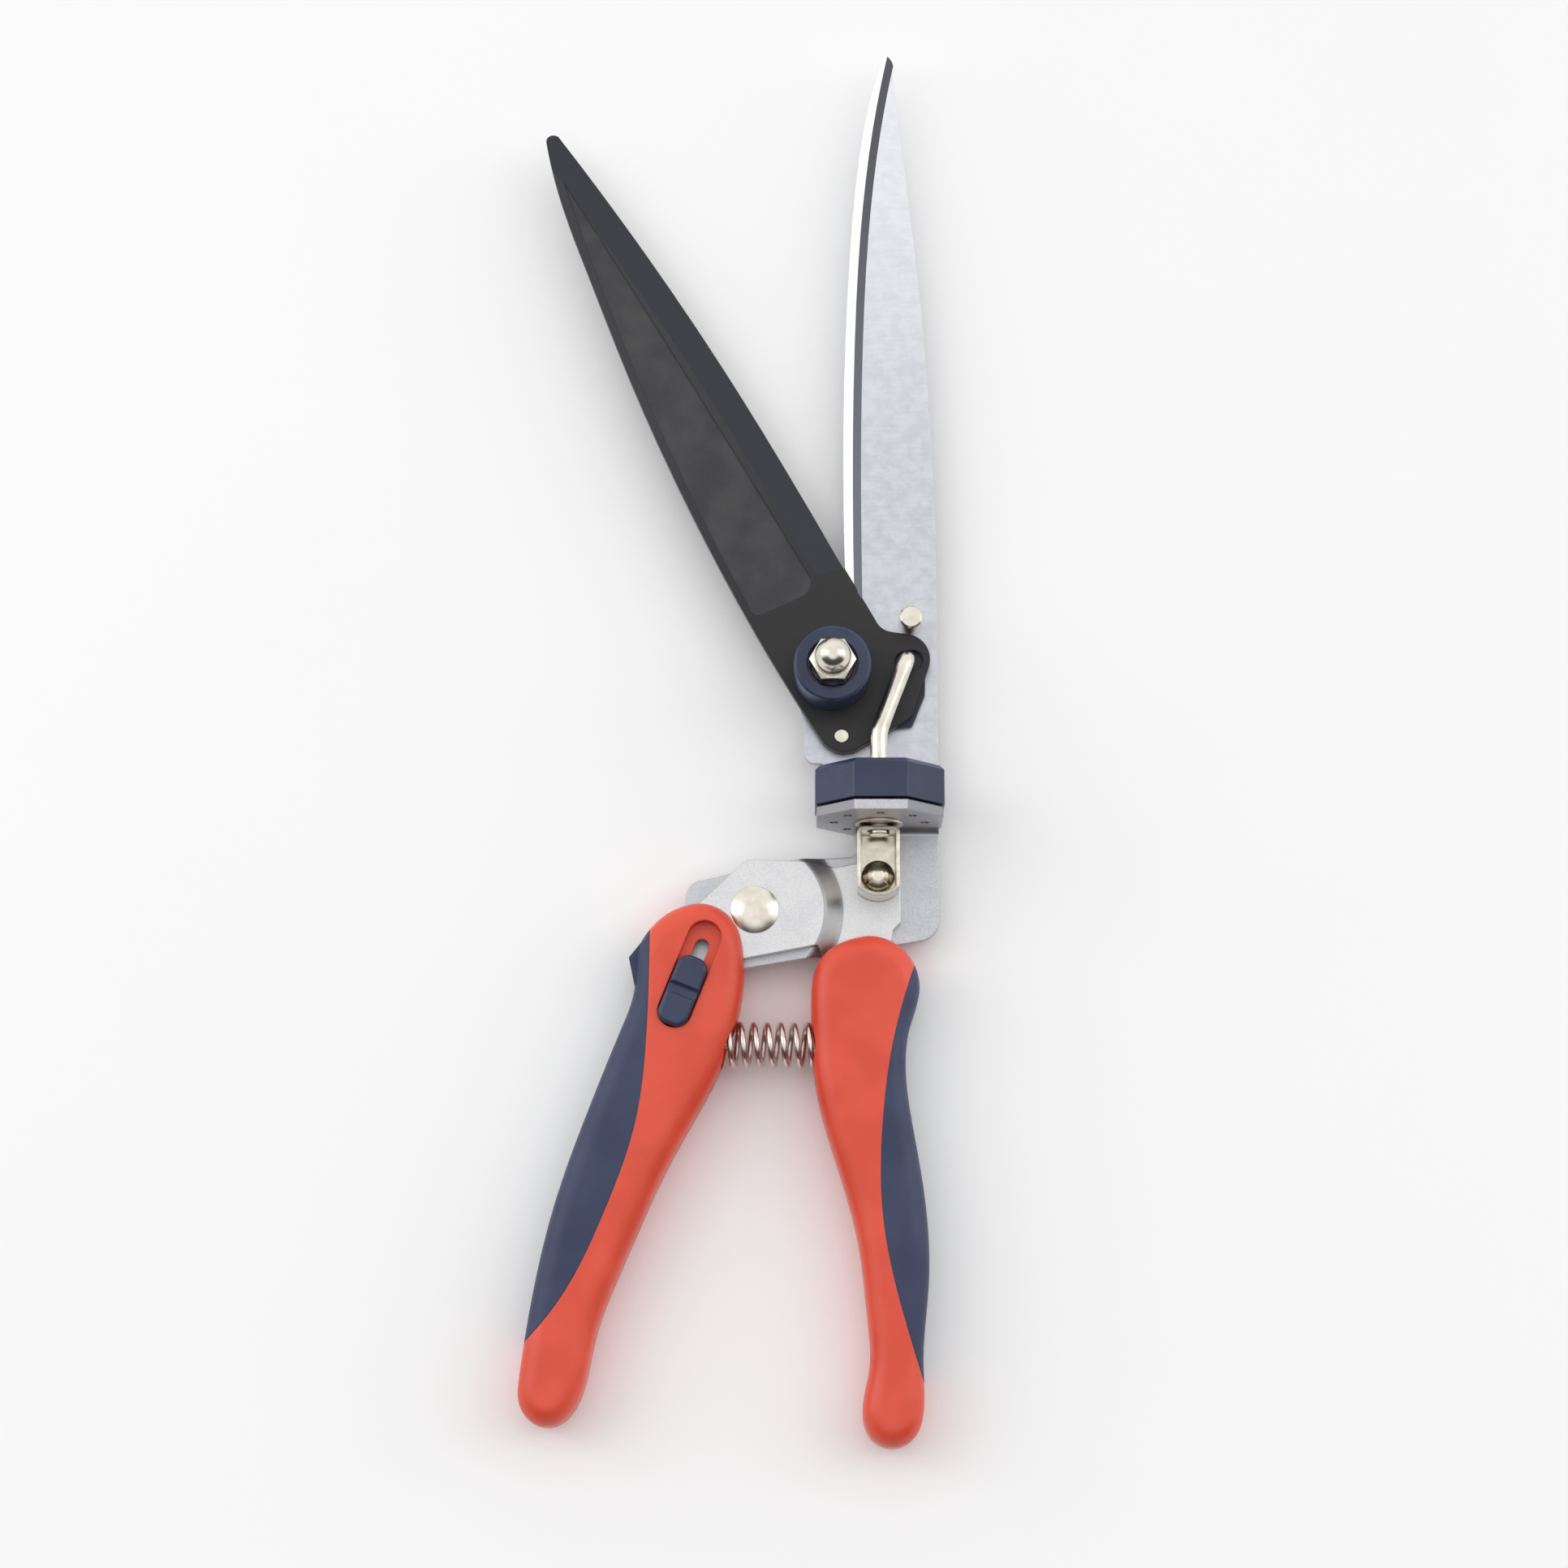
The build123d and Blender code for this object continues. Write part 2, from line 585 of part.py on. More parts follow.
with BuildPart() as swivel_collar:
    with BuildSketch(across(collar_top)):
        octagon(collar_across)
    extrude(amount=collar_height)
    chamfer(swivel_collar.faces().sort_by(Axis.Y)[-1].edges(), collar_edge)
    fillet(swivel_collar.edges().filter_by(Axis.Y), 0.8)
    with BuildSketch(across(collar_top)):
        octagon(cavity_across)
    extrude(amount=collar_top - flange_low, mode=Mode.SUBTRACT)
    axial_disc(eyelet_radius, flange_low, collar_low, Mode.SUBTRACT)
    at_detents(ball_radius + 0.1, flange_low, collar_low, Mode.SUBTRACT)
save(swivel_collar.part, "swivel_collar")

with BuildPart() as swivel_washer:
    axial_disc(eyelet_radius + 3.4, collar_low, index_top + 0.05)
    axial_disc(eyelet_radius, collar_low, index_top + 0.05, Mode.SUBTRACT)
save(swivel_washer.part, "swivel_washer")

with BuildPart() as swivel_eyelet:
    rim_low = index_low - running_gap - eyelet_rim
    axial_disc(eyelet_radius, flange_top, index_low - running_gap)
    axial_disc(eyelet_top_rim_radius, flange_top + eyelet_rim, flange_top)
    axial_disc(eyelet_rim_radius, index_low - running_gap, rim_low)
    fillet(swivel_eyelet.faces().sort_by(Axis.Y)[0].edges(), 0.3)
    axial_disc(guide_radius, flange_top + eyelet_rim, rim_low, Mode.SUBTRACT)
save(swivel_eyelet.part, "swivel_eyelet")

with BuildPart() as rod_guide:
    axial_disc(guide_radius, flange_top + eyelet_rim, rim_low)
    axial_disc(rod_radius + running_gap, flange_top + eyelet_rim, rim_low, Mode.SUBTRACT)
save(rod_guide.part, "rod_guide")

with BuildPart() as detent_balls:
    for angle in detent_angles:
        spot = (index_radius * cos(radians(angle)), ball_y, swivel_z + index_radius * sin(radians(angle)))
        with Locations(spot):
            Sphere(ball_radius)
save(detent_balls.part, "detent_balls")

with BuildPart() as detent_springs:
    spring_foot = ball_y + ball_radius + detent_spring_wire
    spring_rise = flange_low - detent_spring_wire - spring_foot
    for side in (-1, 1):
        with BuildLine() as small_coil:
            Helix(pitch=spring_rise / 2.5, height=spring_rise, radius=ball_radius - 2 * detent_spring_wire,
                  center=(side * index_radius, spring_foot, swivel_z), direction=(0, 1, 0))
        with BuildSketch(Plane(origin=small_coil.line @ 0, z_dir=small_coil.line % 0)):
            Circle(detent_spring_wire)
        sweep(path=small_coil.line, is_frenet=True)
save(detent_springs.part, "detent_springs")

# ---------------------------------------------------------------- lower blade
flange_across = cavity_across - 2 * mould_gap
tang_half = 9.8
fold_inner = 1.0
fold_outer = fold_inner + blade_thickness
fold_top = lower_blade_z + fold_outer
land_width = 2.3
hollow_slope = 2.3
hollow_depth = 0.6
hollow_root = 40.0           # the hollow is full width below here
hollow_low = 4.2
pivot_boss = 9.5

with BuildPart() as lower_blade:
    with BuildSketch(Plane.XY.offset(lower_blade_z)) as lower_outline:
        with BuildLine():
            Spline((14.7, 50.0), (14.5, 72.0), (13.6, 95.1), (11.9, 122.5), (9.2, 150.0), (6.1, 178.0),
                   (4.6, 191.0))
            ThreePointArc((4.6, 191.0), (3.9, 195.0), (2.4, 195.9))
            Spline((2.4, 195.9), (-1.6, 181.6), (-4.8, 161.3), (-6.9, 135.1), (-7.9, 113.8), (-8.4, 85.9),
                   (-8.1, 58.3))
            Spline((-8.1, 58.3), (-12.0, 48.5), (-19.0, 38.5), (-20.2, 28.0), (-18.2, 19.0))
            Polyline((-18.2, 19.0), (-18.2, 8.4), (-14.0, 8.4), (-tang_half, collar_top), (-tang_half, 2.0),
                     (tang_half, 2.0), (tang_half, collar_top), (14.8, 6.4), (14.8, 40.0), (14.7, 50.0))
        make_face()
        fillet(lower_outline.vertices().sort_by_distance((-18.2, 8.4))[0], 2.6)
    extrude(amount=blade_thickness)
    # The face is hollowed inside the ground land of the cutting edge, with a sloping border.
    lower_top = lower_blade_z + blade_thickness
    for inset, depth in ((land_width, 0), (land_width + hollow_slope, hollow_depth)):
        with BuildSketch(Plane.XY.offset(lower_top - depth)):
            with BuildLine():
                Spline((-8.1 + inset, hollow_root), (-8.4 + inset, 85.9), (-7.9 + inset, 113.8),
                       (-4.8 + inset, 161.3), (4.7 + inset, 210.0))
                Polyline((4.7 + inset, 210.0), (40.0, 210.0), (40.0, hollow_low), (-40.0, hollow_low),
                         (-40.0, hollow_root), (-8.1 + inset, hollow_root))
            make_face()
    loft(ruled=True, mode=Mode.SUBTRACT)
    disc(pivot_spot, pivot_boss, lower_blade_z, blade_thickness)
    # The tang folds up into the flange inside the collar.
    with BuildSketch(Plane.YZ.offset(-tang_half)) as fold:
        with BuildLine():
            Polyline((3.5, lower_blade_z), (flange_low, lower_blade_z), (flange_low, fold_top + 1),
                     (flange_top, fold_top + 1), (flange_top, lower_blade_z + blade_thickness),
                     (3.5, lower_blade_z + blade_thickness), close=True)
        make_face()
        fillet(fold.vertices().sort_by_distance((flange_low, lower_blade_z))[0], fold_outer)
        fillet(fold.vertices().sort_by_distance((flange_top, lower_blade_z + blade_thickness))[0], fold_inner)
    extrude(amount=2 * tang_half)
    with BuildSketch(across(flange_top)):
        octagon(flange_across)
        with Locations((0, fold_top - swivel_z)):
            Rectangle(50, 50, align=(Align.CENTER, Align.MAX), mode=Mode.SUBTRACT)
    extrude(amount=blade_thickness)
    axial_disc(eyelet_radius, flange_top, flange_low, Mode.SUBTRACT)
    bore(pivot_spot, bolt_radius, lower_blade_z, blade_thickness)
    bore((stop_x, stop_y), stop_radius - 0.7, lower_blade_z, blade_thickness)
save(lower_blade.part, "lower_blade")

with BuildPart() as stop_pin:
    stop_foot = lower_top - hollow_depth
    disc((stop_x, stop_y), stop_radius, stop_foot, stop_height + hollow_depth)
    chamfer(stop_pin.faces().sort_by(Axis.Z)[-1].edges(), 0.45)
    disc((stop_x, stop_y), stop_radius - 0.7, lower_blade_z, stop_foot - lower_blade_z)
save(stop_pin.part, "stop_pin")

# ---------------------------------------------------------------- upper blade
bevel_width, bevel_depth = 7.2, 1.9
bevel_heel, heel_slope = (-15.1, 55.5), 0.285
panel_depth = 0.35
with BuildPart() as upper_blade:
    with BuildSketch(Plane.XY.offset(upper_blade_z)):
        with BuildLine():
            Spline((-8.1, 57.3), (-19.4, 77.6), (-37.5, 108.5), (-60.6, 144.2), (-81.0, 172.8))
            ThreePointArc((-81.0, 172.8), (-83.0, 173.0), (-84.1, 171.0))
            Spline((-84.1, 171.0), (-79.0, 151.4), (-73.2, 135.7), (-62.7, 108.5), (-48.5, 76.2),
                   (-35.2, 49.8), (-21.8, 26.1), (-14.0, 13.6))
            ThreePointArc((-14.0, 13.6), (-9.2, 10.6), (-4.2, 12.0))
            Line((-4.2, 12.0), (5.7, 17.8))
            ThreePointArc((5.7, 17.8), (8.0, 19.6), (9.1, 22.4))
            Line((9.1, 22.4), (12.6, 32.4))
            ThreePointArc((12.6, 32.4), (11.8, 37.8), (7.0, 40.6))
            Line((7.0, 40.6), (3.4, 41.1))
            ThreePointArc((3.4, 41.1), (1.0, 42.1), (-0.6, 44.2))
            Line((-0.6, 44.2), (-8.1, 57.3))
        make_face()
    extrude(amount=blade_thickness)
    # Bevel of the cutting edge, from its inner line down past the edge
    for step in (0, 1.3):
        out_x, out_y = step * bevel_width * 0.85, step * bevel_width * 0.53
        heel = (bevel_heel[0] + step * bevel_width, bevel_heel[1] + step * bevel_width * heel_slope)
        inner_line = [(-25.6, 74.0), (-43.6, 104.8), (-66.9, 140.8), (-92.6, 178.0)]
        bevel_line = [heel] + [(x + out_x, y + out_y) for x, y in inner_line]
        with BuildSketch(Plane.XY.offset(blade_top - step * bevel_depth)):
            with BuildLine():
                Spline(*bevel_line)
                Polyline(bevel_line[-1], (40.0, 200.0), (60.0, 110.0),
                         (14.0, bevel_heel[1] + (14.0 - bevel_heel[0]) * heel_slope), heel)
            make_face()
    loft(ruled=True, mode=Mode.SUBTRACT)
    # Pressed panel along the blade
    with BuildSketch(Plane.XY.offset(blade_top)) as panel:
        with BuildLine():
            Spline((-79.5, 160.0), (-47.8, 108.0), (-17.2, 56.0))
            ThreePointArc((-17.2, 56.0), (-16.7, 52.8), (-18.8, 50.2))
            Line((-18.8, 50.2), (-28.4, 45.7))
            ThreePointArc((-28.4, 45.7), (-30.6, 45.6), (-31.9, 47.4))
            Spline((-31.9, 47.4), (-53.0, 90.5), (-72.0, 138.0), (-79.5, 160.0))
        make_face()
    extrude(amount=-panel_depth, mode=Mode.SUBTRACT)
    # The stop pin meets the blade's edge at both ends of its swing.
    stop_angle = degrees(atan2(stop_y - pivot_y, stop_x - pivot_x))
    stop_reach = hypot(stop_x - pivot_x, stop_y - pivot_y)
    for turn in (0, blade_swing):
        stop_at = radians(stop_angle + turn)
        stop_spot = (pivot_x + stop_reach * cos(stop_at), pivot_y + stop_reach * sin(stop_at))
        bore(stop_spot, stop_radius + stop_gap, upper_blade_z, blade_thickness)
    bore(pivot_spot, bush_radius + running_gap, upper_blade_z, blade_thickness)
    bore((pad_rivet_x, pad_rivet_y), pad_rivet_radius, upper_blade_z, blade_thickness)
    # Slot for the hook of the pull rod, along a line through the pivot
    slot_direction = (cos(radians(hook_open_angle)), sin(radians(hook_open_angle)))
    slot_at = (hook_reach + hook_far) / 2
    with BuildSketch(Plane.XY.offset(upper_blade_z)):
        with Locations((pivot_x + slot_at * slot_direction[0], pivot_y + slot_at * slot_direction[1])):
            SlotCenterToCenter(hook_far - hook_reach + 0.4, 2 * (rod_radius + hook_slot_play),
                               rotation=hook_open_angle)
    extrude(amount=blade_thickness, mode=Mode.SUBTRACT)
    # Pocket under the tail for the glide pad
    with BuildSketch(Plane.XY.offset(upper_blade_z)) as pad_outline:
        with BuildLine():
            Polyline((-10.6, 17.3), (-11.9, 13.2), (-8.6, 11.9), (3.0, 16.6), (8.4, 17.4), (11.6, 25.4),
                     (11.9, 36.0), (6.4, 38.2), (2.6, 36.4), (1.4, 27.0), close=True)
        make_face()
        fillet(pad_outline.vertices(), 1.2)
    extrude(amount=pad_thickness, mode=Mode.SUBTRACT)
save(upper_blade.part, "upper_blade")

with BuildPart() as glide_pad:
    pad_low = stop_foot + stack_gap / 2
    pad_top = upper_blade_z + pad_thickness
    with BuildSketch(Plane.XY.offset(pad_low)):
        offset(pad_outline.sketch, amount=-0.05)
    extrude(amount=pad_top - pad_low)
    bore((pad_rivet_x, pad_rivet_y), pad_rivet_radius, pad_low, pad_top - pad_low)
save(glide_pad.part, "glide_pad")

with BuildPart() as pad_rivet:
    pad_spot = (pad_rivet_x, pad_rivet_y)
    disc(pad_spot, pad_rivet_radius, upper_blade_z, blade_thickness)
    disc(pad_spot, pad_rivet_radius - 0.1, blade_top, 0.15)
save(pad_rivet.part, "pad_rivet")

# ---------------------------------------------------------------- blade pivot
recess_floor = cap_z + cap_height - cap_recess_depth
with BuildPart() as pivot_bush:
    disc(pivot_spot, bush_radius, lower_blade_z + blade_thickness, cap_z - lower_blade_z - blade_thickness)
    bore(pivot_spot, bolt_radius, lower_blade_z, cap_z)
save(pivot_bush.part, "pivot_bush")

with BuildPart() as pivot_cap:
    disc(pivot_spot, cap_radius, cap_z, cap_height)
    fillet(pivot_cap.faces().sort_by(Axis.Z)[-1].edges(), 0.9)
    bore(pivot_spot, cap_recess_radius, recess_floor, cap_recess_depth)
    bore(pivot_spot, bolt_radius + 0.15, cap_z, cap_height)
    bore(pivot_spot, cap_recess_radius + 0.3, cap_z, cap_spring_pocket)
save(pivot_cap.part, "pivot_cap")

with BuildPart() as tension_washer:
    disc(pivot_spot, cap_recess_radius, cap_z, washer_thickness)
    bore(pivot_spot, bolt_radius, cap_z, washer_thickness)
save(tension_washer.part, "tension_washer")

with BuildPart() as tension_spring:
    tension_low = cap_z + washer_thickness + tension_wire / 2 + 0.02
    tension_rise = cap_z + cap_spring_pocket - tension_wire / 2 - 0.02 - tension_low
    with BuildLine() as stiff_coil:
        Helix(pitch=tension_rise / 2.5, height=tension_rise, radius=bolt_radius + 1.8,
              center=(pivot_x, pivot_y, tension_low))
    with BuildSketch(Plane(origin=stiff_coil.line @ 0, z_dir=stiff_coil.line % 0)):
        Circle(tension_wire / 2)
    sweep(path=stiff_coil.line, is_frenet=True)
save(tension_spring.part, "tension_spring")

with BuildPart() as nut_washer:
    disc(pivot_spot, nut_flats / 2 + 0.3, recess_floor, washer_thickness)
    bore(pivot_spot, bolt_radius, recess_floor, washer_thickness)
save(nut_washer.part, "nut_washer")

nut_low = recess_floor + washer_thickness
bolt_top = nut_low + nut_height - 2.6
with BuildPart() as acorn_nut:
    with BuildSketch(Plane.XY.offset(nut_low)):
        with Locations(pivot_spot):
            RegularPolygon(nut_flats / 2, 6, major_radius=False)
    extrude(amount=nut_hex_height)
    # The corners of the hexagon are turned off by a cone, top and bottom.
    corner_radius = nut_flats / 2 / cos(radians(30))
    with BuildSketch(Plane(origin=(pivot_x, pivot_y, nut_low), x_dir=(1, 0, 0), z_dir=(0, -1, 0))):
        with BuildLine():
            Polyline((0, 0), (nut_flats / 2 - 0.1, 0), (corner_radius + 0.1, 0.45),
                     (corner_radius + 0.1, nut_hex_height - 0.5), (nut_flats / 2 - 0.3, nut_hex_height),
                     (0, nut_hex_height), close=True)
        make_face()
    revolve(axis=Axis((pivot_x, pivot_y, 0), (0, 0, 1)), mode=Mode.INTERSECT)
    with BuildSketch(Plane(origin=(pivot_x, pivot_y, nut_low), x_dir=(1, 0, 0), z_dir=(0, -1, 0))):
        with BuildLine():
            dome_centre = nut_height - nut_dome_radius
            Polyline((0, nut_height), (0, nut_hex_height - 0.5), (nut_dome_radius, nut_hex_height - 0.5),
                     (nut_dome_radius, dome_centre))
            ThreePointArc((nut_dome_radius, dome_centre),
                          (nut_dome_radius * cos(radians(45)), dome_centre + nut_dome_radius * sin(radians(45))),
                          (0, nut_height))
        make_face()
    revolve(axis=Axis((pivot_x, pivot_y, 0), (0, 0, 1)))
    bore(pivot_spot, bolt_radius, nut_low, bolt_top - nut_low)
save(acorn_nut.part, "acorn_nut")

with BuildPart() as pivot_bolt:
    disc(pivot_spot, bolt_radius, lower_blade_z, bolt_top - lower_blade_z)
    disc(pivot_spot, bolt_head_radius, lower_blade_z - bolt_head_height, bolt_head_height)
    fillet(pivot_bolt.faces().sort_by(Axis.Z)[0].edges(), 1.6)
save(pivot_bolt.part, "pivot_bolt")

# ---------------------------------------------------------------- numbers for the joints
print("rod travel", round(rod_travel, 4), "hook", round(hook_x, 4), round(hook_y, 4))
print("swivel height", swivel_z, "slot direction", [round(v, 5) for v in lock_run])
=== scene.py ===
import json
from math import cos, pi, radians, sin

import bmesh
import bpy
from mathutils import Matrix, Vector


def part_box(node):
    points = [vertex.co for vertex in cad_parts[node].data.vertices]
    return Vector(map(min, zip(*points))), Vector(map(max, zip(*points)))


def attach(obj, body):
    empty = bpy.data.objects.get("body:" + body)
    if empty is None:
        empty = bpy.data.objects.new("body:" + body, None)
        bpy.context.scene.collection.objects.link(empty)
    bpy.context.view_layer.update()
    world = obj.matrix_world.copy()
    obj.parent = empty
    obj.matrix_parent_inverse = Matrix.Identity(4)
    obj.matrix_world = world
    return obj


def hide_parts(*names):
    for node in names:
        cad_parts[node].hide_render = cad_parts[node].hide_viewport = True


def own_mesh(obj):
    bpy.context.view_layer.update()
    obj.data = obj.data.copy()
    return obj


# Looks of the swivel-head grass shears: plastic, steel and nickel for the CAD nodes, a real coil in place
# of the return spring's CAD solid, and a pale studio. Places are in metres in the frame's own axes.

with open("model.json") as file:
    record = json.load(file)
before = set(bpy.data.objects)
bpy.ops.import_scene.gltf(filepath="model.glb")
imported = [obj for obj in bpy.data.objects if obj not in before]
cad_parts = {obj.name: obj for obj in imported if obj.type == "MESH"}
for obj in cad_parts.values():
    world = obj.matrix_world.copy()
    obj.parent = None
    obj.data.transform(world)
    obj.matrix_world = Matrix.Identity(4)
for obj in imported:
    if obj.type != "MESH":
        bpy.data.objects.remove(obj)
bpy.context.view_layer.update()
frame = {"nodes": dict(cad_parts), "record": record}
nodes = frame["nodes"]
MM = 0.001

# Heights that tell the faces of the blades apart
STACK_GAP = 0.1 * MM                                   # between the lower and the upper blade
BLADE_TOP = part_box("upper_blade")[1].z
LAND_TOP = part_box("upper_blade")[0].z - STACK_GAP      # the lower blade's ground land
HOLLOW = 0.6 * MM                                      # how far its face lies below that land
PANEL_EDGE = 0.2 * MM, 0.3 * MM                        # depths between which the upper blade's panel begins


# ---------------------------------------------------------------- colours
def linear(red, green, blue):
    """A colour given as sRGB values from 0 to 255, for a shader."""
    def channel(value):
        value = value / 255
        return value / 12.92 if value <= 0.04045 else ((value + 0.055) / 1.055) ** 2.4
    return (channel(red), channel(green), channel(blue), 1)


def under_gloss(red, green, blue):
    """The body colour that looks like the given sRGB colour once the surface's own gloss is added."""
    gloss, darkest = 0.04, 0.004
    return tuple(max(value - gloss, darkest) for value in linear(red, green, blue)[:3]) + (1,)


# ---------------------------------------------------------------- node tools
class Nodes:
    """Short names for the nodes of one material or world."""

    def __init__(self, tree):
        self.tree = tree

    def node(self, kind, **settings):
        made = self.tree.nodes.new(kind)
        for key, value in settings.items():
            setattr(made, key, value)
        return made

    def link(self, source, target):
        self.tree.links.new(source, target)

    def split(self, vector):
        """The outputs X, Y and Z of a vector."""
        made = self.node("ShaderNodeSeparateXYZ")
        self.link(vector, made.inputs["Vector"])
        return made.outputs

    def remap(self, value, low, high, to_low=0, to_high=1):
        """A smooth ramp from to_low where value is low, to to_high where it is high."""
        made = self.node("ShaderNodeMapRange", interpolation_type="SMOOTHSTEP")
        for socket, number in (("From Min", low), ("From Max", high), ("To Min", to_low), ("To Max", to_high)):
            made.inputs[socket].default_value = number
        self.link(value, made.inputs["Value"])
        return made.outputs["Result"]

    def math(self, operation, first, second):
        made = self.node("ShaderNodeMath", operation=operation)
        for socket, value in zip(made.inputs, (first, second)):
            if isinstance(value, (int, float)):
                socket.default_value = value
            else:
                self.link(value, socket)
        return made.outputs["Value"]

    def mix(self, share, first, second):
        """The first colour where share is 0 and the second where it is 1."""
        made = self.node("ShaderNodeMix", data_type="RGBA")
        factor, first_socket, second_socket = made.inputs[0], made.inputs[6], made.inputs[7]
        for socket, value in ((first_socket, first), (second_socket, second)):
            if isinstance(value, tuple):
                socket.default_value = value
            else:
                self.link(value, socket)
        self.link(share, factor)
        return made.outputs[2]


class Finish(Nodes):
    """A Principled material that is built up node by node, in the object's own coordinates."""

    def __init__(self, name, metallic=0.0):
        self.material = bpy.data.materials.new(name)
        self.material.use_nodes = True
        super().__init__(self.material.node_tree)
        self.shader = self.tree.nodes["Principled BSDF"]
        self.shader.inputs["Metallic"].default_value = metallic
        self.place = self.node("ShaderNodeTexCoord").outputs["Object"]

    def noise(self, size_mm, detail=2.0, stretch=(1, 1, 1)):
        """Noise whose features are about size_mm across, longer along an axis stretched by more than 1."""
        scale = self.node("ShaderNodeMapping")
        scale.inputs["Scale"].default_value = [1 / s for s in stretch]
        self.link(self.place, scale.inputs["Vector"])
        made = self.node("ShaderNodeTexNoise")
        made.inputs["Scale"].default_value = 1 / (size_mm * MM)
        made.inputs["Detail"].default_value = detail
        self.link(scale.outputs["Vector"], made.inputs["Vector"])
        return made.outputs["Fac"]

    def axis(self, letter):
        """The surface's X, Y or Z in metres."""
        return self.split(self.place)[letter]

    def sloping(self, steep, shallow):
        """1 where the surface faces up at a slant, 0 on flat faces and on upright walls."""
        up = self.split(self.node("ShaderNodeTexCoord").outputs["Normal"])["Z"]
        not_upright = self.remap(up, steep - 0.1, steep + 0.1)
        not_flat = self.remap(up, shallow - 0.015, shallow, 1, 0)
        return self.math("MULTIPLY", not_upright, not_flat)

    def colour(self, value):
        self.link(value, self.shader.inputs["Base Color"])

    def roughness(self, value):
        self.link(value, self.shader.inputs["Roughness"])

    def surface(self, edges_mm, height, depth_mm, strength):
        """Edges catch the light as if rounded by edges_mm, and height stands out by depth_mm."""
        bevel = self.node("ShaderNodeBevel", samples=4)
        bevel.inputs["Radius"].default_value = edges_mm * MM
        bump = self.node("ShaderNodeBump")
        bump.inputs["Distance"].default_value = depth_mm * MM
        bump.inputs["Strength"].default_value = strength
        self.link(height, bump.inputs["Height"])
        self.link(bevel.outputs["Normal"], bump.inputs["Normal"])
        self.link(bump.outputs["Normal"], self.shader.inputs["Normal"])


# ---------------------------------------------------------------- finishes
def blasted_steel(name, light, dark):
    """Sandblasted, zinc-plated sheet: a fine sparkle, faint cloudiness, and painted shade darkening the
    slanted pressed bend.
    """
    f = Finish(name, metallic=1.0)
    grain = f.noise(0.35, detail=4)
    cloud = f.noise(7)
    share = f.math("ADD", f.math("MULTIPLY", grain, 0.6), f.math("MULTIPLY", cloud, 0.4))
    flat = f.mix(f.remap(share, 0.36, 0.64), dark, light)
    # Painted shade: slanted faces of the pressed bend get a darker copy of the steel colour.
    painted_shade_factor, painted_shade_share = 0.45, 0.75
    painted_bend_shade = tuple(value * painted_shade_factor for value in dark[:3]) + (1,)
    f.colour(f.mix(f.math("MULTIPLY", f.sloping(0.35, 0.985), painted_shade_share), flat, painted_bend_shade))
    f.roughness(f.remap(cloud, 0.3, 0.7, 0.36, 0.46))
    f.surface(0.45, grain, 0.05, 0.5)
    return f.material


def moulded(name, light, dark, roughness, texture_mm, edges_mm):
    """Moulded plastic with a fine spark-eroded texture and slow changes of shade."""
    f = Finish(name)
    f.colour(f.mix(f.remap(f.noise(16), 0.35, 0.65), dark, light))
    f.roughness(f.remap(f.noise(4, detail=3), 0.3, 0.7, roughness - 0.04, roughness + 0.05))
    f.surface(edges_mm, f.noise(texture_mm, detail=3), 0.03, 0.45)
    return f.material


def bright_nickel(name, light, dark, roughness, edges_mm=0.25):
    """Polished nickel plating with slight waviness and smudges."""
    f = Finish(name, metallic=1.0)
    f.colour(f.mix(f.remap(f.noise(3), 0.35, 0.65), dark, light))
    f.roughness(f.remap(f.noise(1.6, detail=4), 0.3, 0.7, roughness, roughness + 0.08))
    f.surface(edges_mm, f.noise(2.5), 0.01, 0.3)
    return f.material


def ground_blade(name):
    """The lower blade: satin hollow face with painted light towards the tip, and painted shade on the slope
    beside the bright ground land of the cutting edge.
    """
    f = Finish(name, metallic=1.0)
    height = f.axis("Z")
    hollow_top = LAND_TOP - HOLLOW
    on_land = f.remap(height, LAND_TOP - 0.04 * MM, LAND_TOP - 0.01 * MM)
    above_hollow = f.remap(height, hollow_top + 0.01 * MM, hollow_top + 0.04 * MM)
    slope = f.math("SUBTRACT", above_hollow, on_land)
    brushing = f.noise(0.5, detail=4, stretch=(8, 1, 1))
    mottle = f.noise(2.5, detail=3)
    share = f.math("ADD", f.math("MULTIPLY", brushing, 0.4), f.math("MULTIPLY", mottle, 0.6))
    grain = f.remap(share, 0.35, 0.65)
    # Painted light: the satin face grows lighter towards the tip, and the slope's painted shade darker.
    toward_tip = f.remap(f.axis("Y"), 60 * MM, 190 * MM)
    satin_root = f.mix(grain, linear(190, 192, 199), linear(204, 206, 213))
    satin_tip_painted_light = f.mix(grain, linear(222, 223, 229), linear(230, 231, 236))
    satin = f.mix(toward_tip, satin_root, satin_tip_painted_light)
    # Painted shade on the slope between the hollow face and the land.
    painted_slope_shade = f.mix(toward_tip, linear(108, 109, 118), linear(86, 86, 91))
    f.colour(f.mix(on_land, f.mix(slope, satin, painted_slope_shade), linear(243, 243, 244)))
    f.roughness(f.remap(brushing, 0.3, 0.7, 0.34, 0.42))
    f.surface(0.2, brushing, 0.02, 0.12)
    return f.material


